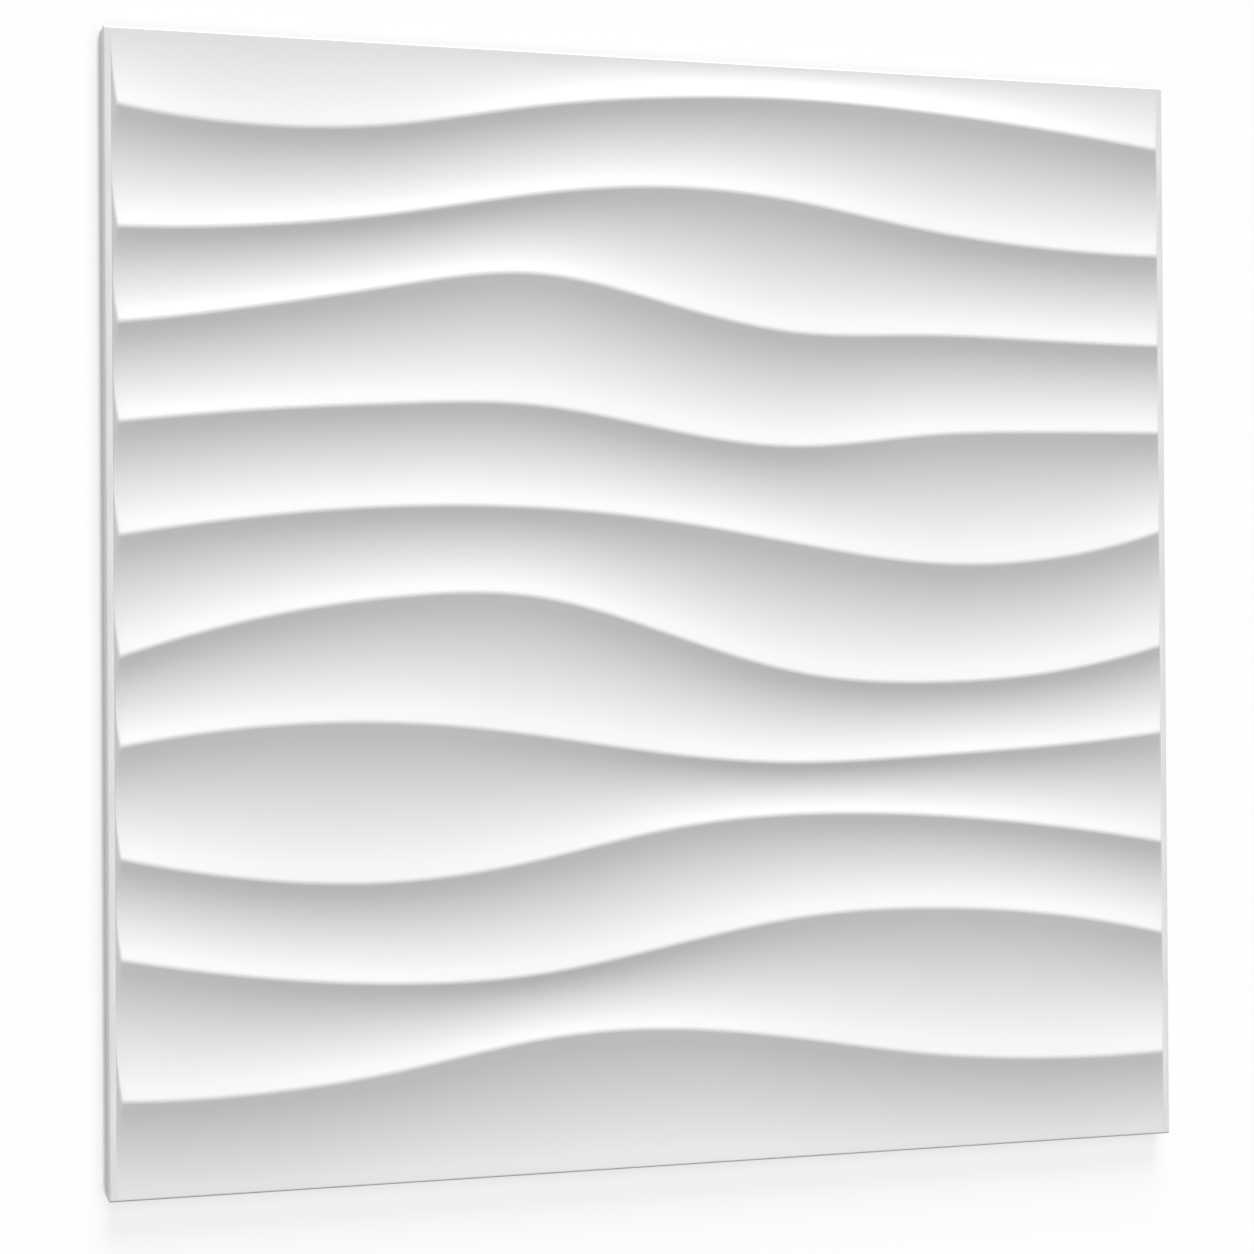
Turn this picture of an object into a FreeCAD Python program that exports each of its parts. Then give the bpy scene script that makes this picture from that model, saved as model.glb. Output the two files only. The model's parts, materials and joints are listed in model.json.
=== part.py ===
"""Square wall panel of thin moulded sheet, lying on its back with the wave relief up.

All sizes are in millimetres.  X runs along the waves, Y across them, Z out of the wall.
"""
import FreeCAD, Part
import math
import os

# Whole panel
PANEL_SIDE = 500.0
EDGE_DEPTH = 12.0
CREST_RISE = 3.8
WALL = 1.2
EDGE_RADIUS = 0.5

# Flat strip at each end of the waves, and the slant that brings a wave down to it
END_STRIP = 3.0
END_SLANT_RUN = 2.2

# Section across the waves: hollows are deeper where they are wider, crests are narrow and round
HOLLOW_WIDTH = 48.0
HOLLOW_DEPTH = 3.4
HOLLOW_POWER = 0.65
CREST_HALF_WIDTH = 1.4

# Least slope of the ridge beside the panel's lower edge, and of the one beside its upper edge
LOWER_RIDGE_SLOPE = 0.25
UPPER_RIDGE_SLOPE = 0.0

# Ridge lines from the top of the panel down.  Each has its height above the middle, in percent of the
# panel's side, at evenly spaced stations from the left edge to the right.
RIDGE_PERCENTS = (
    (43.5, 42.1, 42.7, 44.9, 46.4, 46.9, 46.4, 45.3, 43.8),
    (32.9, 33.4, 34.9, 37.1, 38.3, 37.5, 35.4, 34.1, 33.8),
    (24.7, 26.4, 28.6, 30.1, 27.8, 25.5, 25.6, 25.4, 25.2),
    (16.2, 17.5, 18.3, 18.4, 16.4, 15.1, 16.3, 16.8, 16.9),
    (6.5, 8.3, 9.3, 9.3, 8.2, 6.2, 4.5, 4.9, 7.8),
    (-4.0, -0.5, 1.4, 1.4, -2.0, -5.6, -6.6, -5.8, -3.1),
    (-11.5, -9.8, -9.6, -10.9, -12.8, -13.8, -13.4, -12.7, -11.5),
    (-20.6, -22.9, -23.5, -22.0, -19.5, -18.5, -18.9, -20.2, -22.2),
    (-29.2, -31.3, -32.4, -32.1, -30.0, -27.9, -27.5, -28.5, -30.9),
    (-41.3, -41.3, -40.0, -37.9, -37.5, -39.0, -41.0, -42.0, -41.9),
)

# Sections that the relief is drawn through, arcs in the section of a hollow, and the fewer arcs
# of the flat slope between the top ridge and the border
SECTION_COUNT = 9
ARC_COUNT = 5
TOP_ARC_COUNT = 3

HALF_SIDE = PANEL_SIDE / 2
CREST_LEVEL = EDGE_DEPTH + CREST_RISE


def spread(half, count):
    """Evenly spaced places from -half to half."""
    return [half * (2 * i / (count - 1) - 1) for i in range(count)]


def spline(points, stations):
    """Smooth curve through the points, one at each station."""
    curve = Part.BSplineCurve()
    curve.interpolate(Points=points, Parameters=stations)
    return curve


def ridge_line(heights):
    """Ridge line as a curve whose parameter is x."""
    stations = spread(HALF_SIDE, len(heights))
    points = [FreeCAD.Vector(x, PANEL_SIDE * percent / 100, 0) for x, percent in zip(stations, heights)]
    return spline(points, stations)


def hollow(low, high):
    """Coefficients (a, b, c) of the parabola a y^2 + b y + c that hollows the sheet between two ridges."""
    width = high - low
    depth = HOLLOW_DEPTH * (width / HOLLOW_WIDTH) ** HOLLOW_POWER
    a = 4 * depth / width ** 2
    middle = (low + high) / 2
    return a, -2 * a * middle, CREST_LEVEL - depth + a * middle ** 2


def edge_hollow(ridge, edge, least_slope):
    """Parabola of the part hollow between a ridge and the border, which it meets at the edge's level."""
    width = abs(edge - ridge)
    fall = max(2 * CREST_RISE / width, least_slope)
    a = (fall * width - CREST_RISE) / width ** 2
    b = -math.copysign(fall, edge - ridge)
    return a, b - 2 * a * ridge, CREST_LEVEL - b * ridge + a * ridge ** 2


def level(parabola, y):
    """Height of a parabola at y."""
    a, b, c = parabola
    return a * y * y + b * y + c


def slope(parabola, y):
    """Slope of a parabola at y."""
    a, b, c = parabola
    return 2 * a * y + b


def tangent_meet(before, y0, after, y1):
    """Point where the tangent of one parabola at y0 meets the tangent of the next at y1."""
    z0, s0 = level(before, y0), slope(before, y0)
    z1, s1 = level(after, y1), slope(after, y1)
    y = (z1 - z0 + s0 * y0 - s1 * y1) / (s0 - s1)
    return y, z0 + s0 * (y - y0)


def hollow_arcs(parabola, y0, y1, count):
    """Pole and end of each arc that follows the parabola from y0 to y1."""
    step = (y1 - y0) / count
    points = []
    for i in range(count):
        start = y0 + i * step
        end = start + step
        points.append(tangent_meet(parabola, start, parabola, end))
        points.append((end, level(parabola, end)))
    return points


def relief_chain(ridges, side, crest):
    """Points (y, z) of the relief's section from lower to upper side: end, pole, end, pole and so on."""
    hollows = [edge_hollow(ridges[0], -side, LOWER_RIDGE_SLOPE)]
    hollows += [hollow(low, high) for low, high in zip(ridges, ridges[1:])]
    hollows.append(edge_hollow(ridges[-1], side, UPPER_RIDGE_SLOPE))
    start = -side
    chain = [(start, EDGE_DEPTH)]
    for ridge, below, above in zip(ridges, hollows, hollows[1:]):
        foot = ridge - crest
        head = ridge + crest
        chain += hollow_arcs(below, start, foot, ARC_COUNT)
        if crest > 0:
            chain += [tangent_meet(below, foot, above, head), (head, level(above, head))]
        start = head
    return chain + hollow_arcs(hollows[-1], start, side, TOP_ARC_COUNT)


def arc(poles):
    """Edge of one arc of the section, from its end, pole and other end."""
    curve = Part.BezierCurve()
    curve.setPoles(poles)
    return curve.toShape()


def strip(rows):
    """Smooth face over three neighbouring rows of poles, each row a spline along the waves."""
    along = rows[0]
    surface = Part.BSplineSurface()
    surface.buildFromPolesMultsKnots([row.getPoles() for row in rows], (3, 3), along.getMultiplicities(),
                                     (0, 1), along.getKnots(), False, False, 2, along.Degree)
    return surface.toShape()


def relief_body(foot, side, inset, crest):
    """Solid under the relief, between the end strips at x = -foot and x = foot."""
    lines = [ridge_line(heights) for heights in reversed(RIDGE_PERCENTS)]
    stations = spread(foot, SECTION_COUNT)
    grid = []
    for x in stations:
        chain = relief_chain([line.value(x).y for line in lines], side, crest)
        grid.append([FreeCAD.Vector(x, y, z - inset) for y, z in chain])
    rows = [spline(list(row), stations) for row in zip(*grid)]
    faces = [strip(rows[i:i + 3]) for i in range(0, len(rows) - 2, 2)]
    corners = ((-foot, -side), (foot, -side), (foot, side), (-foot, side))
    base = [FreeCAD.Vector(x, y, -inset) for x, y in corners]
    faces.append(Part.Face(Part.makePolygon(base + base[:1])))
    faces.append(Part.Face(Part.makePolygon([base[0], base[1], grid[-1][0], grid[0][0], base[0]])))
    faces.append(Part.Face(Part.makePolygon([base[3], base[2], grid[-1][-1], grid[0][-1], base[3]])))
    for points, low, high in ((grid[0], base[0], base[3]), (grid[-1], base[1], base[2])):
        arcs = [arc(points[i:i + 3]) for i in range(0, len(points) - 2, 2)]
        sides = Part.makePolygon([points[-1], high, low, points[0]])
        faces.append(Part.Face(Part.Wire(arcs + sides.Edges)))
    shell = Part.makeShell(faces)
    shell.sewShape()
    body = Part.makeSolid(shell)
    if body.Volume < 0:
        body.reverse()
    return body


def end_wedge(end, foot, side, inset):
    """Wedge above the slant at one end of the waves, higher than the crests."""
    edge_level = EDGE_DEPTH - inset
    low = edge_level - CREST_RISE
    high = edge_level + 2 * CREST_RISE
    outer = end * (foot + END_SLANT_RUN)
    inner = end * (foot - 2 * END_SLANT_RUN)
    corners = [FreeCAD.Vector(x, -side, z) for x, z in ((outer, low), (outer, high), (inner, high))]
    return Part.Face(Part.makePolygon(corners + corners[:1])).extrude(FreeCAD.Vector(0, 2 * side, 0))


def block(half_x, half_y, inset):
    """Plain block around the middle, from the base to the level of the face's edges."""
    corner = FreeCAD.Vector(-half_x, -half_y, -inset)
    return Part.makeBox(2 * half_x, 2 * half_y, EDGE_DEPTH, corner)


def border(foot, side, inset):
    """Border around the relief, with the flat strips at the ends of the waves."""
    outer_side = HALF_SIDE - inset
    outer = block(outer_side, outer_side, inset)
    if inset == 0:
        upper_edges = [edge for edge in outer.Edges if edge.BoundBox.ZMin > EDGE_DEPTH / 2]
        outer = outer.makeFillet(EDGE_RADIUS, upper_edges)
    return outer.cut(block(foot, side, inset))


def tile_body(inset, crest):
    """Solid tile, drawn in by inset at its sides, its slants and its face."""
    slant = math.hypot(END_SLANT_RUN, CREST_RISE)
    foot = HALF_SIDE - END_STRIP - inset * (slant - END_SLANT_RUN) / CREST_RISE
    side = HALF_SIDE - EDGE_RADIUS - inset
    body = relief_body(foot, side, inset, crest)
    for end in (-1, 1):
        body = body.cut(end_wedge(end, foot, side, inset))
    return body.fuse(border(foot, side, inset)).removeSplitter()


def panel():
    """The moulded sheet: a tile that is hollow from the back, with a sharp inner line under each crest."""
    return tile_body(0, CREST_HALF_WIDTH).cut(tile_body(WALL, 0)).removeSplitter()


os.makedirs("parts", exist_ok=True)
panel().exportStep("parts/wave_panel.step")
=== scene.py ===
"""Wave wall panel: one square tile of thin moulded sheet, its satin finish and the stage it lies on.

X runs along the waves, Y across them and Z out of the face.  All sizes are in metres.
"""
import json
import math

import bmesh
import bpy
from mathutils import Matrix, Vector


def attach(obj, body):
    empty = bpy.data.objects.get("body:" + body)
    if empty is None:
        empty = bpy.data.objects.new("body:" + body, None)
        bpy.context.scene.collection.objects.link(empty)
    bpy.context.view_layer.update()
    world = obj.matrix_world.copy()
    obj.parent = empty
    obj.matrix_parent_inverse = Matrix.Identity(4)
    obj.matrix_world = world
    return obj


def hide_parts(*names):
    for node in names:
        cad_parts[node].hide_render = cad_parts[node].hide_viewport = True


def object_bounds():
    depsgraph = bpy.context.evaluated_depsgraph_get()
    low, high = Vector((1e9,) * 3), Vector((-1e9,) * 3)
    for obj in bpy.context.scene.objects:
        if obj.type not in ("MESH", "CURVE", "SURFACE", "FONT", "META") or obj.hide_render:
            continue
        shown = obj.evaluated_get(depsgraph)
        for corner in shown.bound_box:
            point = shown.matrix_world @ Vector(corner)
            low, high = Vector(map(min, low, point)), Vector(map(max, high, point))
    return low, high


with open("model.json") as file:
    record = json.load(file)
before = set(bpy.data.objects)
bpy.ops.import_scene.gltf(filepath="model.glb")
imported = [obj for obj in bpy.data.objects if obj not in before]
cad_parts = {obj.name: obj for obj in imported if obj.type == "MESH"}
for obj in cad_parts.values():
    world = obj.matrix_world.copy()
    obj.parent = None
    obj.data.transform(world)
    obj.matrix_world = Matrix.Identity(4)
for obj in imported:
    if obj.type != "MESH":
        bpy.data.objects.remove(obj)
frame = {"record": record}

CAD_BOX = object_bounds()
NODE = "wave_panel"
BODY = "root"
SLOT = "white_sheet"
SLOT_COLOUR = next(m["base_color"] for m in frame["record"]["materials"] if m["slot"] == SLOT)
PANEL_SIDE = CAD_BOX[1].x - CAD_BOX[0].x
FLOOR_LEVEL = CAD_BOX[0].z

bl_info = {
    "name": "Wave wall panel",
    "version": (1, 0, 0),
    "blender": (4, 5, 0),
    "location": "3D View > Sidebar > Wave panel",
    "description": "Makes a moulded wall panel with a wave relief, and a plain stage for it",
    "category": "Object",
}

# Ridge lines from the top of the panel down.  Each has its height above the middle, in percent of the
# panel's side, at evenly spaced stations from the left edge to the right.
RIDGE_PERCENTS = (
    (43.5, 42.1, 42.7, 44.9, 46.4, 46.9, 46.4, 45.3, 43.8),
    (32.9, 33.4, 34.9, 37.1, 38.3, 37.5, 35.4, 34.1, 33.8),
    (24.7, 26.4, 28.6, 30.1, 27.8, 25.5, 25.6, 25.4, 25.2),
    (16.2, 17.5, 18.3, 18.4, 16.4, 15.1, 16.3, 16.8, 16.9),
    (6.5, 8.3, 9.3, 9.3, 8.2, 6.2, 4.5, 4.9, 7.8),
    (-4.0, -0.5, 1.4, 1.4, -2.0, -5.6, -6.6, -5.8, -3.1),
    (-11.5, -9.8, -9.6, -10.9, -12.8, -13.8, -13.4, -12.7, -11.5),
    (-20.6, -22.9, -23.5, -22.0, -19.5, -18.5, -18.9, -20.2, -22.2),
    (-29.2, -31.3, -32.4, -32.1, -30.0, -27.9, -27.5, -28.5, -30.9),
    (-41.3, -41.3, -40.0, -37.9, -37.5, -39.0, -41.0, -42.0, -41.9),
)

# Rounds of averaging after which the slopes of a ridge line no longer change
SLOPE_ROUNDS = 60

# Mesh steps across a hollow, over a crest, along the waves, over a wave's end and round the front edge
HOLLOW_STEPS = 12
CREST_STEPS = 6
RUN_STEPS = 124
ARRIS_STEPS = 4
EDGE_STEPS = 5

# Columns on the end strip, from the side in, and on the slant, from its foot up, as shares of the way
STRIP_STOPS = (0.0, 0.3, 0.93, 1.0)
SLANT_STOPS = (0.1, 0.55)

# Distance from the rounded border to the first row beside it, which keeps the round out of the
# face's shading
RIM_GAP = 0.0004

# A lower slant than this is drawn as long as this one
LOWEST_SLANT = 0.0003

# Largest share of a slant that its rounding takes
ARRIS_SHARE = 0.4

# An edge sharper than this stays crisp under smooth shading
CRISP_ANGLE = math.radians(40)

# Noise of the tone drift, the moulding dimples and the grain, and the stretches of it that count
DRIFT_NOISE = {"Scale": 9.0, "Detail": 3.0, "Roughness": 0.55}
PEEL_NOISE = {"Detail": 1.0, "Roughness": 0.4}
GRAIN_NOISE = {"Detail": 2.0, "Roughness": 0.5}
DRIFT_STRETCH = (0.3, 0.7)
PEEL_STRETCH = (0.25, 0.75)

# Share of the space above it that the floor has open in the crease at the panel's foot, right beside
# the crease and away from the panel.  The floor's glow comes down with it there: painted contact shade
PAINTED_SHADE_OPENNESS = (0.55, 0.62, 1.0)

# Colour of the studio light and backdrop
WHITE = (1.0, 1.0, 1.0, 1.0)

# Distance from the upper side wall to the net in front of it
NET_GAP = 0.0003


class WavePanelSizes(bpy.types.PropertyGroup):
    """Sizes of the moulded sheet."""
    side: bpy.props.FloatProperty(
        name="Side", description="Length of each side of the square face",
        default=PANEL_SIDE, min=0.1, subtype="DISTANCE", unit="LENGTH")
    edge_depth: bpy.props.FloatProperty(
        name="Edge depth", description="Height of the face's border above the back",
        default=0.012, min=0.002, precision=4, subtype="DISTANCE", unit="LENGTH")
    crest_rise: bpy.props.FloatProperty(
        name="Crest rise", description="Height of the crests above the border",
        default=0.0038, min=0.0005, precision=5, subtype="DISTANCE", unit="LENGTH")
    wall: bpy.props.FloatProperty(
        name="Wall", description="Thickness of the sheet",
        default=0.0012, min=0.0003, precision=5, subtype="DISTANCE", unit="LENGTH")
    edge_radius: bpy.props.FloatProperty(
        name="Edge radius", description="Rounding of the outer front edges",
        default=0.0008, min=0.0001, precision=5, subtype="DISTANCE", unit="LENGTH")
    end_strip: bpy.props.FloatProperty(
        name="End strip", description="Width of the flat strip at each end of the waves",
        default=0.003, min=0.001, precision=5, subtype="DISTANCE", unit="LENGTH")
    slant_run: bpy.props.FloatProperty(
        name="Slant run", description="Length over which a crest comes down to the end strip",
        default=0.0022, min=0.0005, precision=5, subtype="DISTANCE", unit="LENGTH")
    arris: bpy.props.FloatProperty(
        name="Arris", description="Rounding where a wave breaks into its end slant",
        default=0.001, min=0.0001, precision=5, subtype="DISTANCE", unit="LENGTH")
    hollow_width: bpy.props.FloatProperty(
        name="Hollow width", description="Width of a hollow that has the stated depth",
        default=0.048, min=0.01, precision=4, subtype="DISTANCE", unit="LENGTH")
    hollow_depth: bpy.props.FloatProperty(
        name="Hollow depth", description="Depth of a hollow of the stated width",
        default=0.0034, min=0.0002, precision=5, subtype="DISTANCE", unit="LENGTH")
    hollow_power: bpy.props.FloatProperty(
        name="Hollow power", description="How fast a hollow gets deeper as it gets wider",
        default=0.65, min=0.0, max=2.0)
    crest_half: bpy.props.FloatProperty(
        name="Crest half width", description="Half the width of the rounding on a crest",
        default=0.0014, min=0.0001, precision=5, subtype="DISTANCE", unit="LENGTH")
    inner_crest_half: bpy.props.FloatProperty(
        name="Inner crest half width",
        description="Half the width of the line under a crest, on the back",
        default=0.0003, min=0.0001, precision=5, subtype="DISTANCE", unit="LENGTH")
    lower_slope: bpy.props.FloatProperty(
        name="Lower ridge slope", description="Least slope of the ridge beside the lower edge",
        default=0.25, min=0.0, max=1.0)
    upper_slope: bpy.props.FloatProperty(
        name="Upper ridge slope", description="Least slope of the ridge beside the upper edge",
        default=0.0, min=0.0, max=1.0)


class WavePanelFinish(bpy.types.PropertyGroup):
    """Satin finish of the sheet."""
    colour: bpy.props.FloatVectorProperty(
        name="Colour", description="Colour of the sheet",
        default=SLOT_COLOUR, size=3, min=0.0, max=1.0, subtype="COLOR")
    tone: bpy.props.FloatProperty(
        name="Tone variation", description="How much the white varies over the sheet",
        default=0.012, min=0.0, max=0.2, subtype="FACTOR")
    roughness: bpy.props.FloatProperty(
        name="Roughness", description="Middle roughness of the satin surface",
        default=0.46, min=0.0, max=1.0, subtype="FACTOR")
    roughness_spread: bpy.props.FloatProperty(
        name="Roughness spread", description="How far the roughness strays from its middle",
        default=0.05, min=0.0, max=0.3, subtype="FACTOR")
    peel_size: bpy.props.FloatProperty(
        name="Peel size", description="Size of the soft dimples that moulding leaves",
        default=0.0045, min=0.0005, precision=5, subtype="DISTANCE", unit="LENGTH")
    peel_height: bpy.props.FloatProperty(
        name="Peel height", description="Height of the soft dimples",
        default=0.000012, min=0.0, precision=6, subtype="DISTANCE", unit="LENGTH")
    grain_size: bpy.props.FloatProperty(
        name="Grain size", description="Size of the fine satin grain",
        default=0.0006, min=0.0001, precision=5, subtype="DISTANCE", unit="LENGTH")
    grain_height: bpy.props.FloatProperty(
        name="Grain height", description="Height of the fine satin grain",
        default=0.0000015, min=0.0, precision=7, subtype="DISTANCE", unit="LENGTH")
    refraction: bpy.props.FloatProperty(
        name="Refractive index", description="Refractive index of the plastic",
        default=1.53, min=1.0, max=3.0)


class WavePanelStage(bpy.types.PropertyGroup):
    """Floor, light and camera."""
    floor_side: bpy.props.FloatProperty(
        name="Floor side", description="Length of each side of the floor",
        default=16.0, min=2.0, subtype="DISTANCE", unit="LENGTH")
    floor_colour: bpy.props.FloatVectorProperty(
        name="Floor colour", description="Colour of the floor",
        default=(0.8, 0.8, 0.8), size=3, min=0.0, max=1.0, subtype="COLOR")
    floor_shade: bpy.props.FloatProperty(
        name="Floor shade", description="Share of the light on the floor that the picture shows",
        default=0.2, min=0.0, max=1.0, subtype="FACTOR")
    floor_glow: bpy.props.FloatProperty(
        name="Floor glow", description="White that the picture shows on the floor beside that share",
        default=0.826, min=0.0, max=1.0, subtype="FACTOR")
    # Lower glow right beside the crease at the panel's foot: painted contact shade
    painted_shade_beside_glow: bpy.props.FloatProperty(
        name="Glow beside the crease",
        description="The same white right beside the crease at the panel's foot",
        default=0.73, min=0.0, max=1.0, subtype="FACTOR")
    # Still lower glow in the crease at the panel's foot: painted contact shade
    painted_shade_crease_glow: bpy.props.FloatProperty(
        name="Glow in the crease", description="The same white in the crease at the panel's foot",
        default=0.3, min=0.0, max=1.0, subtype="FACTOR")
    # Reach of the painted contact shade around the panel's foot
    painted_shade_reach: bpy.props.FloatProperty(
        name="Contact reach", description="How near the panel's foot the floor begins to darken",
        default=0.008, min=0.0001, precision=5, subtype="DISTANCE", unit="LENGTH")
    backdrop: bpy.props.FloatProperty(
        name="Backdrop", description="White that the picture shows beyond the floor",
        default=0.987, min=0.0, max=1.0, subtype="FACTOR")
    key_strength: bpy.props.FloatProperty(
        name="Key strength", description="Strength of the key light", default=4.25, min=0.0)
    key_height: bpy.props.FloatProperty(
        name="Key height", description="Angle of the key light above the floor",
        default=math.radians(25), subtype="ANGLE", unit="ROTATION")
    key_turn: bpy.props.FloatProperty(
        name="Key turn",
        description="Angle of the key light to the right of straight beyond the upper edge",
        default=math.radians(2), subtype="ANGLE", unit="ROTATION")
    key_softness: bpy.props.FloatProperty(
        name="Key softness", description="Angle across the key light",
        default=math.radians(30), subtype="ANGLE", unit="ROTATION")
    fill_strength: bpy.props.FloatProperty(
        name="Fill strength", description="Strength of the even light from all round",
        default=0.235, min=0.0)
    net_pass: bpy.props.FloatProperty(
        name="Net pass",
        description="Share of the key light that the net at the upper side wall lets through",
        default=0.25, min=0.0, max=1.0, subtype="FACTOR")
    camera_place: bpy.props.FloatVectorProperty(
        name="Camera place", description="Where the camera stands",
        default=(-0.36736, -0.01366, 1.16424), size=3, precision=4,
        subtype="TRANSLATION", unit="LENGTH")
    camera_aim: bpy.props.FloatVectorProperty(
        name="Camera aim", description="Point in the middle of the picture",
        default=(-0.01924, -0.00686, 0.012), size=3, precision=4,
        subtype="TRANSLATION", unit="LENGTH")
    camera_roll: bpy.props.FloatProperty(
        name="Camera roll", description="Turn of the camera about its own axis",
        default=math.radians(-0.3715), subtype="ANGLE", unit="ROTATION")
    camera_lens: bpy.props.FloatProperty(
        name="Lens", description="Focal length for a 36 mm picture",
        default=76.9, min=10.0, unit="CAMERA")


class RidgeLine:
    """Smooth line of one crest across the panel, drawn through evenly spaced stations."""

    def __init__(self, percents, side):
        self.heights = [side * percent / 100 for percent in percents]
        self.half = side / 2
        self.step = side / (len(percents) - 1)
        self.slopes = station_slopes(self.heights, self.step)

    def height(self, x):
        """Height of the crest across the panel at x."""
        place = (x + self.half) / self.step
        i = min(max(int(place), 0), len(self.heights) - 2)
        t = place - i
        rise = t * t * (3 - 2 * t)
        leave = t * (1 - t) ** 2
        arrive = t * t * (t - 1)
        start, end = self.heights[i:i + 2]
        out, into = self.slopes[i:i + 2]
        return start + rise * (end - start) + self.step * (leave * out + arrive * into)


def end_slope(heights, step):
    """Slope at the first station of the cubic through the first four."""
    a, b, c, d = heights[:4]
    return (-11 * a + 18 * b - 9 * c + 2 * d) / (6 * step)


def station_slopes(heights, step):
    """Slopes at the stations that make the line bend smoothly."""
    last = len(heights) - 1
    slopes = [0.0] * len(heights)
    slopes[0] = end_slope(heights, step)
    slopes[last] = -end_slope(heights[::-1], step)
    for _ in range(SLOPE_ROUNDS):
        for i in range(1, last):
            pull = 3 * (heights[i + 1] - heights[i - 1]) / step
            slopes[i] = (pull - slopes[i - 1] - slopes[i + 1]) / 4
    return slopes


def level(parabola, y):
    """Height of a parabola (a, b, c) at y."""
    a, b, c = parabola
    return a * y * y + b * y + c


def slope(parabola, y):
    """Slope of a parabola (a, b, c) at y."""
    a, b, _ = parabola
    return 2 * a * y + b


def bezier(points, t):
    """Point at t on the curve from the first point to the last, pulled towards the middle one."""
    first, pull, last = (Vector(p) for p in points)
    return first * (1 - t) ** 2 + pull * 2 * t * (1 - t) + last * t * t


class WaveSurface:
    """One side of the sheet: its relief, the slants and strips at the waves' ends, and its border."""

    def __init__(self, sizes, inset, crest):
        self.sizes = sizes
        self.crest = crest
        self.half = sizes.side / 2 - inset
        self.side = self.half - sizes.edge_radius
        self.border = sizes.edge_depth - inset
        self.top = self.border + sizes.crest_rise
        self.slant = math.hypot(sizes.slant_run, sizes.crest_rise)
        lean = (self.slant - sizes.slant_run) / sizes.crest_rise
        self.foot = sizes.side / 2 - sizes.end_strip - inset * lean
        self.ridges = [RidgeLine(percents, sizes.side) for percents in reversed(RIDGE_PERCENTS)]
        self.breaks = {}

    def hollow(self, k, x):
        """Parabola of hollow k at x, counted from the lower edge up, with the ends of its width."""
        sizes = self.sizes
        if k == 0:
            return self.edge_hollow(self.ridges[0].height(x), -self.side, sizes.lower_slope)
        if k == len(self.ridges):
            return self.edge_hollow(self.ridges[-1].height(x), self.side, sizes.upper_slope)
        low, high = self.ridges[k - 1].height(x), self.ridges[k].height(x)
        width = high - low
        depth = sizes.hollow_depth * (width / sizes.hollow_width) ** sizes.hollow_power
        a = 4 * depth / width ** 2
        middle = (low + high) / 2
        return (a, -2 * a * middle, self.top - depth + a * middle ** 2), low, high

    def edge_hollow(self, ridge, edge, least_slope):
        """Parabola of the part hollow that comes down from a ridge to the border's level at the edge."""
        rise = self.sizes.crest_rise
        width = abs(edge - ridge)
        fall = max(2 * rise / width, least_slope)
        a = (fall * width - rise) / width ** 2
        b = -math.copysign(fall, edge - ridge)
        parabola = (a, b - 2 * a * ridge, self.top - b * ridge + a * ridge ** 2)
        return parabola, min(ridge, edge), max(ridge, edge)

    def hollow_point(self, k, share, x):
        """Place (y, z) at a share of the way across hollow k."""
        parabola, low, high = self.hollow(k, x)
        start = low + (self.crest if k > 0 else 0)
        end = high - (self.crest if k < len(self.ridges) else 0)
        y = start + share * (end - start)
        return y, level(parabola, y)

    def crest_point(self, k, share, x):
        """Place (y, z) at a share of the way over the rounded crest of ridge k."""
        below = self.hollow(k, x)[0]
        above = self.hollow(k + 1, x)[0]
        ridge = self.ridges[k].height(x)
        y0, y1 = ridge - self.crest, ridge + self.crest
        z0, z1 = level(below, y0), level(above, y1)
        s0, s1 = slope(below, y0), slope(above, y1)
        y = (z1 - z0 + s0 * y0 - s1 * y1) / (s0 - s1)
        return tuple(bezier(((y0, z0), (y, z0 + s0 * (y - y0)), (y1, z1)), share))

    def relief(self, row, x):
        """Place (y, z) of a row at x, before the ends of the waves are slanted."""
        kind, k, share = row
        if kind == "side":
            return k * self.half, self.border
        if kind == "rim":
            y = k * (self.side - RIM_GAP)
            return y, level(self.hollow(len(self.ridges) if k > 0 else 0, x)[0], y)
        if kind == "hollow":
            return self.hollow_point(k, share, x)
        return self.crest_point(k, share, x)

    def wave_break(self, row, end):
        """Three points (distance from the middle, height) that round a row's break into its slant."""
        key = (row, end)
        if key not in self.breaks:
            sizes = self.sizes
            lift = max(self.relief(row, end * self.foot)[1] - self.border, 0.0)
            rise = max(lift, LOWEST_SLANT)
            reach = rise * sizes.slant_run / sizes.crest_rise
            arris = min(sizes.arris, ARRIS_SHARE * rise * self.slant / sizes.crest_rise)
            back = arris / self.slant
            start = self.foot - reach + back * sizes.slant_run
            inner = self.foot - reach - arris
            self.breaks[key] = ((start, self.border + lift * (1 - back * sizes.crest_rise / rise)),
                                (self.foot - reach, self.border + lift),
                                (inner, self.relief(row, end * inner)[1]))
        return self.breaks[key]

    def point(self, row, column):
        """Place of the mesh where a row across the panel meets a column along it."""
        kind, end, share = column
        if kind == "run":
            left = -self.wave_break(row, -1)[2][0]
            right = self.wave_break(row, 1)[2][0]
            x = left + share * (right - left)
            return Vector((x, *self.relief(row, x)))
        if kind == "strip":
            out, z = self.half + share * (self.foot - self.half), self.border
        elif kind == "slant":
            below = self.wave_break(row, end)[0]
            out = self.foot + share * (below[0] - self.foot)
            z = self.border + share * (below[1] - self.border)
        else:
            out, z = bezier(self.wave_break(row, end), share)
        return Vector((end * out, self.relief(row, end * out)[0], z))


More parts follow.
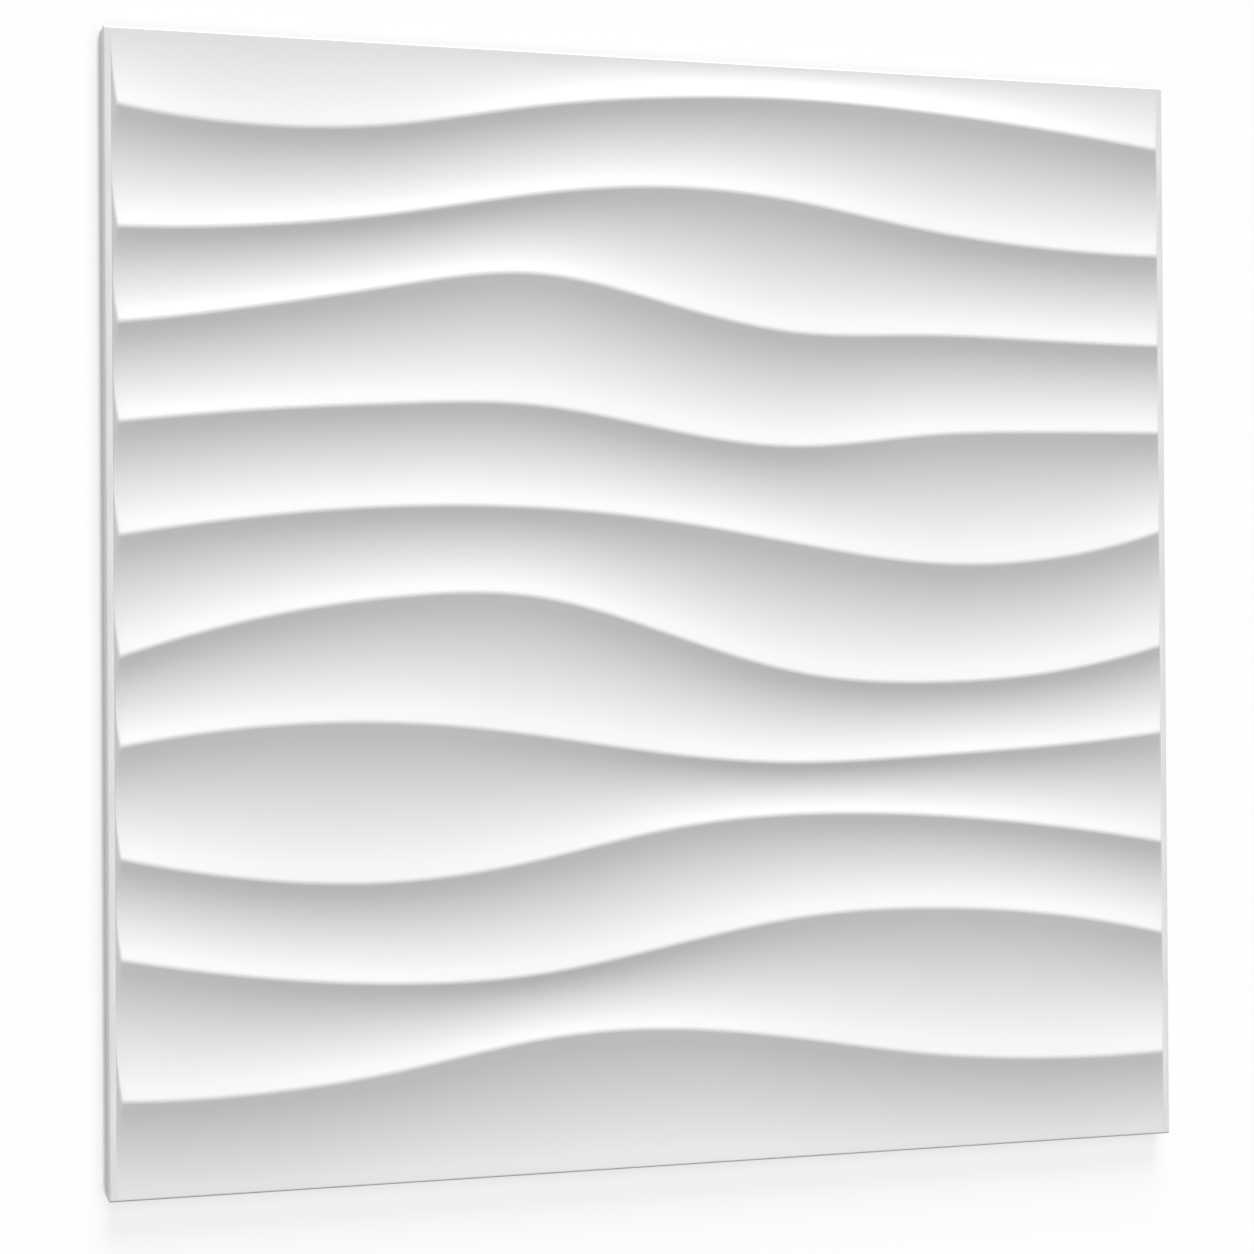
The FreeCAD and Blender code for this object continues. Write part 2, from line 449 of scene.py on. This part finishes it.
def wave_rows():
    """Rows of the mesh from the lower side to the upper one, as (kind, number, share)."""
    rows = [("side", -1, 0.0), ("rim", -1, 0.0)]
    for k in range(len(RIDGE_PERCENTS) + 1):
        rows += [("hollow", k, i / HOLLOW_STEPS) for i in range(HOLLOW_STEPS) if k + i > 0]
        if k < len(RIDGE_PERCENTS):
            rows += [("crest", k, i / CREST_STEPS) for i in range(CREST_STEPS)]
    return rows + [("rim", 1, 0.0), ("side", 1, 0.0)]


def wave_columns():
    """Columns of the mesh from the left end to the right one, as (kind, end, share)."""
    outer = [("strip", share) for share in STRIP_STOPS]
    outer += [("slant", share) for share in SLANT_STOPS]
    outer += [("arris", i / ARRIS_STEPS) for i in range(ARRIS_STEPS + 1)]
    left = [(kind, -1, share) for kind, share in outer]
    right = [(kind, 1, share) for kind, share in reversed(outer)]
    return left + [("run", 0, i / RUN_STEPS) for i in range(1, RUN_STEPS)] + right


def make_surface(bm, surface):
    """Adds one side of the sheet to the mesh; gives its faces, its front edges and its foot's edges."""
    rows, columns = wave_rows(), wave_columns()
    across, along = len(rows) - 1, len(columns) - 1
    verts = bmesh.ops.create_grid(bm, x_segments=along, y_segments=across, size=1.0)["verts"]
    for vert in verts:
        column = columns[round((vert.co.x + 1) / 2 * along)]
        row = rows[round((vert.co.y + 1) / 2 * across)]
        vert.co = surface.point(row, column)
    # The keys of a dict keep their order, which the members of a set don't
    faces = list(dict.fromkeys(face for vert in verts for face in vert.link_faces))
    edges = dict.fromkeys(edge for vert in verts for edge in vert.link_edges)
    front = [edge for edge in edges if edge.is_boundary]
    skirt = bmesh.ops.extrude_edge_only(bm, edges=front)["geom"]
    for vert in (item for item in skirt if isinstance(item, bmesh.types.BMVert)):
        vert.co.z = FLOOR_LEVEL
    faces += [item for item in skirt if isinstance(item, bmesh.types.BMFace)]
    foot = [item for item in skirt if isinstance(item, bmesh.types.BMEdge) and item.is_boundary]
    return faces, front, foot


def make_sheet_mesh(sizes):
    """Mesh of the whole sheet: face, hollow back and the narrow rim that joins them."""
    bm = bmesh.new()
    _, front, outer_foot = make_surface(bm, WaveSurface(sizes, 0.0, sizes.crest_half))
    back, _, inner_foot = make_surface(bm, WaveSurface(sizes, sizes.wall, sizes.inner_crest_half))
    bmesh.ops.reverse_faces(bm, faces=back)
    bmesh.ops.bridge_loops(bm, edges=outer_foot + inner_foot)
    bmesh.ops.bevel(bm, geom=front, offset=sizes.edge_radius, offset_type="OFFSET", segments=EDGE_STEPS,
                    profile=0.5, affect="EDGES", clamp_overlap=False, material=-1)
    bmesh.ops.recalc_face_normals(bm, faces=bm.faces)
    for face in bm.faces:
        face.smooth = True
    mesh = bpy.data.meshes.new(NODE + "_sheet")
    bm.to_mesh(mesh)
    bm.free()
    mesh.set_sharp_from_angle(angle=CRISP_ANGLE)
    return mesh


class NodeTree:
    """Short way to add and join the nodes of a material or world."""

    def __init__(self, owner):
        owner.use_nodes = True
        self.tree = owner.node_tree
        self.tree.nodes.clear()

    def add(self, kind, settings=(), **inputs):
        """Adds a node, sets its settings, and sets or links its inputs by name."""
        node = self.tree.nodes.new(kind)
        for name, value in dict(settings).items():
            setattr(node, name, value)
        for name, value in inputs.items():
            self.put(node.inputs[name.replace("_", " ")], value)
        return node

    def put(self, socket, value):
        """Sets a socket to a value, or links it to another socket."""
        if isinstance(value, bpy.types.NodeSocket):
            self.tree.links.new(value, socket)
        else:
            socket.default_value = value


def opaque(colour):
    """Colour with full alpha."""
    return (*colour, 1.0)


def satin_white(finish):
    """Satin white plastic: faint tone drift, soft moulding dimples and a fine grain."""
    material = bpy.data.materials.new("satin_white_sheet")
    nodes = NodeTree(material)
    place = nodes.add("ShaderNodeTexCoord").outputs["Object"]
    drift = nodes.add("ShaderNodeTexNoise", Vector=place, **DRIFT_NOISE).outputs["Fac"]
    tone = nodes.add("ShaderNodeValToRGB", Fac=drift)
    low, high = tone.color_ramp.elements
    low.position, high.position = DRIFT_STRETCH
    low.color = opaque(c * (1 - finish.tone) for c in finish.colour)
    high.color = opaque(min(1.0, c * (1 + finish.tone)) for c in finish.colour)
    peel = nodes.add("ShaderNodeTexNoise", Vector=place,
                     Scale=1 / finish.peel_size, **PEEL_NOISE).outputs["Fac"]
    grain = nodes.add("ShaderNodeTexNoise", Vector=place,
                      Scale=1 / finish.grain_size, **GRAIN_NOISE).outputs["Fac"]
    gloss = nodes.add("ShaderNodeMapRange", Value=peel,
                      From_Min=PEEL_STRETCH[0], From_Max=PEEL_STRETCH[1],
                      To_Min=finish.roughness - finish.roughness_spread,
                      To_Max=finish.roughness + finish.roughness_spread)
    dimples = nodes.add("ShaderNodeBump", Strength=1.0, Distance=finish.peel_height, Height=peel)
    bump = nodes.add("ShaderNodeBump", Strength=1.0, Distance=finish.grain_height, Height=grain,
                     Normal=dimples.outputs["Normal"])
    shader = nodes.add("ShaderNodeBsdfPrincipled", Base_Color=tone.outputs["Color"],
                       Roughness=gloss.outputs["Result"], IOR=finish.refraction,
                       Normal=bump.outputs["Normal"])
    nodes.add("ShaderNodeOutputMaterial", Surface=shader.outputs["BSDF"])
    return material


def seen_ray(nodes):
    """One for rays that the picture shows, also in a mirror or through glass, and nought for others."""
    path = nodes.add("ShaderNodeLightPath").outputs
    straight = nodes.add("ShaderNodeMath", {"operation": "MAXIMUM"})
    nodes.put(straight.inputs[0], path["Is Camera Ray"])
    nodes.put(straight.inputs[1], path["Is Glossy Ray"])
    seen = nodes.add("ShaderNodeMath", {"operation": "MAXIMUM"})
    nodes.put(seen.inputs[0], straight.outputs[0])
    nodes.put(seen.inputs[1], path["Is Transmission Ray"])
    return seen.outputs[0]


def pale_floor(stage):
    """Pale matt floor that looks white in the picture, keeps the panel's shadow and gets painted shade
    at the panel's foot.
    """
    material = bpy.data.materials.new("pale_floor")
    nodes = NodeTree(material)
    matt = nodes.add("ShaderNodeBsdfDiffuse", Color=opaque(stage.floor_colour))
    shade = nodes.add("ShaderNodeBsdfDiffuse", Color=opaque((stage.floor_shade,) * 3))
    # Painted contact shade: ambient occlusion turns the floor's glow down near the panel's foot
    painted_shade_openness = nodes.add("ShaderNodeAmbientOcclusion", Distance=stage.painted_shade_reach)
    painted_shade_ramp = nodes.add("ShaderNodeValToRGB", Fac=painted_shade_openness.outputs["AO"])
    painted_shade_ramp.color_ramp.elements.new(PAINTED_SHADE_OPENNESS[1])
    glows_with_painted_shade = (stage.painted_shade_crease_glow, stage.painted_shade_beside_glow, stage.floor_glow)
    for stop, place, share in zip(painted_shade_ramp.color_ramp.elements, PAINTED_SHADE_OPENNESS, glows_with_painted_shade):
        stop.position = place
        stop.color = opaque((share,) * 3)
    # Even white glow, turned down near the panel's foot by the painted contact shade
    glow = nodes.add("ShaderNodeEmission", Strength=1.0, Color=painted_shade_ramp.outputs["Color"])
    both = nodes.add("ShaderNodeAddShader")
    nodes.put(both.inputs[0], shade.outputs["BSDF"])
    nodes.put(both.inputs[1], glow.outputs["Emission"])
    mix = nodes.add("ShaderNodeMixShader", Fac=seen_ray(nodes))
    nodes.put(mix.inputs[1], matt.outputs["BSDF"])
    nodes.put(mix.inputs[2], both.outputs["Shader"])
    nodes.add("ShaderNodeOutputMaterial", Surface=mix.outputs["Shader"])
    return material


def sheer_net(stage):
    """Sheer net that lets a share of the light through."""
    material = bpy.data.materials.new("sheer_net")
    nodes = NodeTree(material)
    sheer = nodes.add("ShaderNodeBsdfTransparent", Color=opaque((stage.net_pass,) * 3))
    nodes.add("ShaderNodeOutputMaterial", Surface=sheer.outputs["BSDF"])
    return material


def make_world(stage):
    """Even light from all round, behind a white backdrop."""
    world = bpy.data.worlds.new("studio")
    nodes = NodeTree(world)
    fill = nodes.add("ShaderNodeBackground", Strength=stage.fill_strength, Color=WHITE)
    backdrop = nodes.add("ShaderNodeBackground", Strength=stage.backdrop, Color=WHITE)
    mix = nodes.add("ShaderNodeMixShader", Fac=seen_ray(nodes))
    nodes.put(mix.inputs[1], fill.outputs["Background"])
    nodes.put(mix.inputs[2], backdrop.outputs["Background"])
    nodes.add("ShaderNodeOutputWorld", Surface=mix.outputs["Shader"])
    return world


def link(scene, name, data):
    """Adds an object to the scene."""
    obj = bpy.data.objects.new(name, data)
    scene.collection.objects.link(obj)
    return obj


def plane_mesh(name, place):
    """Mesh of a flat square that is two units wide before it is put in its place."""
    bm = bmesh.new()
    bmesh.ops.create_grid(bm, x_segments=1, y_segments=1, size=1.0, matrix=place)
    mesh = bpy.data.meshes.new(name)
    bm.to_mesh(mesh)
    bm.free()
    return mesh


class WAVEPANEL_OT_sheet(bpy.types.Operator):
    """Make the moulded sheet with its wave relief"""
    bl_idname = "wavepanel.sheet"
    bl_label = "Make sheet"

    def execute(self, context):
        scene = context.scene
        sheet = link(scene, "moulded_sheet", make_sheet_mesh(scene.wave_panel_sizes))
        sheet.data.materials.append(satin_white(scene.wave_panel_finish))
        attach(sheet, BODY)
        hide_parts(NODE)
        return {"FINISHED"}


class WAVEPANEL_OT_stage(bpy.types.Operator):
    """Make the floor, the studio light with its net, and the camera"""
    bl_idname = "wavepanel.stage"
    bl_label = "Make stage"

    def execute(self, context):
        scene = context.scene
        stage = scene.wave_panel_stage
        self.make_floor(scene, stage)
        self.make_light(scene, stage)
        self.make_net(scene, stage)
        self.make_camera(scene, stage)
        scene.view_settings.view_transform = "Standard"
        return {"FINISHED"}

    def make_floor(self, scene, stage):
        """Wide flat floor under the panel."""
        half = stage.floor_side / 2
        under = Matrix.Translation((0.0, 0.0, FLOOR_LEVEL)) @ Matrix.Diagonal((half, half, 1.0, 1.0))
        floor = link(scene, "floor", plane_mesh("floor", under))
        floor.data.materials.append(pale_floor(stage))

    def make_light(self, scene, stage):
        """One soft key light from beyond the panel's upper edge, and even fill."""
        lamp = bpy.data.lights.new("key_light", "SUN")
        lamp.energy = stage.key_strength
        lamp.angle = stage.key_softness
        key = link(scene, "key_light", lamp)
        ahead = Vector((math.sin(stage.key_turn), math.cos(stage.key_turn), 0.0))
        above = Vector((0.0, 0.0, 1.0))
        towards = ahead * math.cos(stage.key_height) + above * math.sin(stage.key_height)
        key.rotation_euler = towards.to_track_quat("Z", "Y").to_euler()
        key.location = towards
        scene.world = make_world(stage)

    def make_net(self, scene, stage):
        """Low unseen net at the upper side wall, which would turn plain white in the full key light."""
        height = scene.wave_panel_sizes.edge_depth - scene.wave_panel_sizes.edge_radius
        stand = Matrix.Translation((0.0, CAD_BOX[1].y + NET_GAP, FLOOR_LEVEL + height / 2))
        stand @= Matrix.Rotation(math.pi / 2, 4, "X")
        stand @= Matrix.Diagonal((PANEL_SIDE / 2, height / 2, 1.0, 1.0))
        net = link(scene, "net", plane_mesh("net", stand))
        net.data.materials.append(sheer_net(stage))
        net.visible_camera = False
        net.visible_diffuse = False
        net.visible_glossy = False
        net.visible_transmission = False

    def make_camera(self, scene, stage):
        """Camera that looks down on the panel with its upper edge at the top of the picture."""
        data = bpy.data.cameras.new("camera")
        data.lens = stage.camera_lens
        camera = link(scene, "camera", data)
        place, aim = Vector(stage.camera_place), Vector(stage.camera_aim)
        back = (place - aim).normalized()
        right = Vector((0.0, 1.0, 0.0)).cross(back).normalized()
        up = back.cross(right)
        turn = Matrix((right, up, back)).transposed() @ Matrix.Rotation(stage.camera_roll, 3, "Z")
        camera.matrix_world = Matrix.Translation(place) @ turn.to_4x4()
        scene.camera = camera


class WAVEPANEL_PT_sidebar(bpy.types.Panel):
    """Lists the panel's pieces, sizes and stage"""
    bl_idname = "WAVEPANEL_PT_sidebar"
    bl_label = "Wave panel"
    bl_space_type = "VIEW_3D"
    bl_region_type = "UI"
    bl_category = "Wave panel"

    def draw(self, context):
        for group in GROUPS:
            settings = getattr(context.scene, group)
            box = self.layout.box()
            for name in type(settings).__annotations__:
                box.prop(settings, name)
        for operator in (WAVEPANEL_OT_sheet, WAVEPANEL_OT_stage):
            self.layout.operator(operator.bl_idname)


CLASSES = (WavePanelSizes, WavePanelFinish, WavePanelStage, WAVEPANEL_OT_sheet, WAVEPANEL_OT_stage,
           WAVEPANEL_PT_sidebar)
GROUPS = {
    "wave_panel_sizes": WavePanelSizes,
    "wave_panel_finish": WavePanelFinish,
    "wave_panel_stage": WavePanelStage,
}


def register():
    for cls in CLASSES:
        bpy.utils.register_class(cls)
    for name, group in GROUPS.items():
        setattr(bpy.types.Scene, name, bpy.props.PointerProperty(type=group))


def unregister():
    for name in GROUPS:
        delattr(bpy.types.Scene, name)
    for cls in reversed(CLASSES):
        bpy.utils.unregister_class(cls)


def main():
    register()
    bpy.ops.wavepanel.sheet()
    bpy.ops.wavepanel.stage()


if __name__ == "__main__":
    main()
